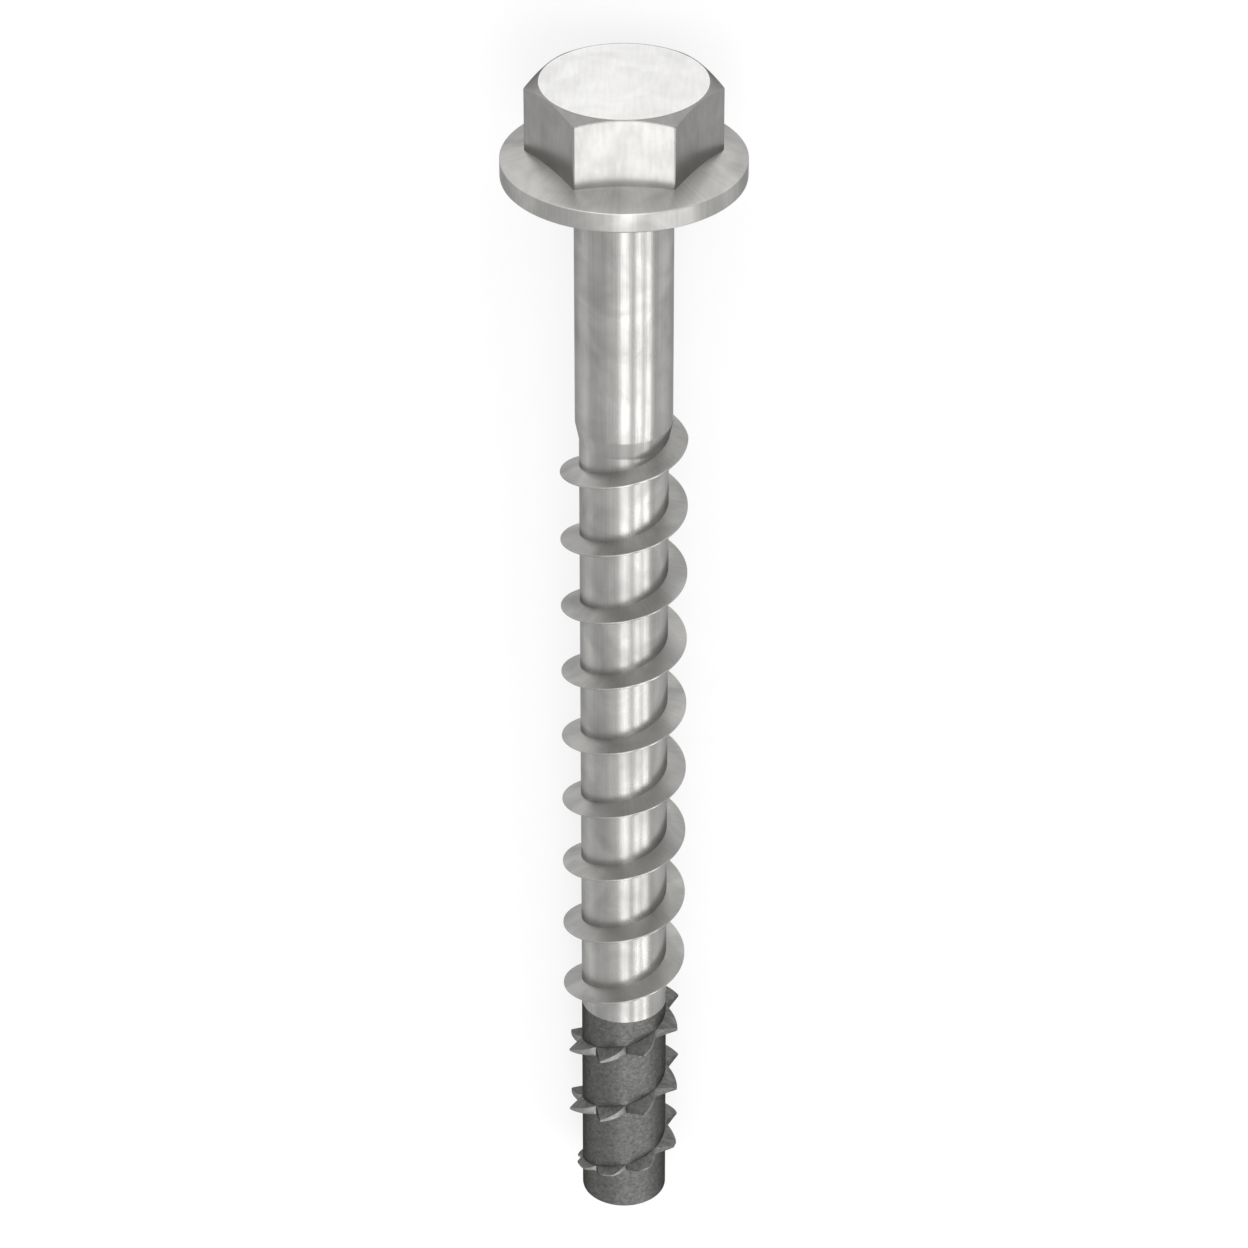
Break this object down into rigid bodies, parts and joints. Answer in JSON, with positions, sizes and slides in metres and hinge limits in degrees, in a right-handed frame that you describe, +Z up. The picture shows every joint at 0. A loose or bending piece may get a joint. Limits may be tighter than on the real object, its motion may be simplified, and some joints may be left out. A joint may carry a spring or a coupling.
{
  "type": "concrete screw",
  "caption": "Concrete screw with a hexagon flange head, a smooth shank, a coarse thread and a dark hardened tip whose turns are cut into saw teeth.",
  "frame": {"origin": "centre of the laid-down screw's box, on the table it lies on", "axes": "+Z up, the screw lies along X with its head at -X and its tip at +X"},
  "size_m": [0.0802, 0.0144, 0.0144],
  "materials": {
    "stainless_steel": "bright rolled stainless steel with fine drawing lines",
    "hardened_steel": "dark hardened steel, slightly rough"
  },
  "bodies": {
    "root": {"screw_body": "stainless_steel", "cutting_tip": "hardened_steel"}
  },
  "joints": []
}
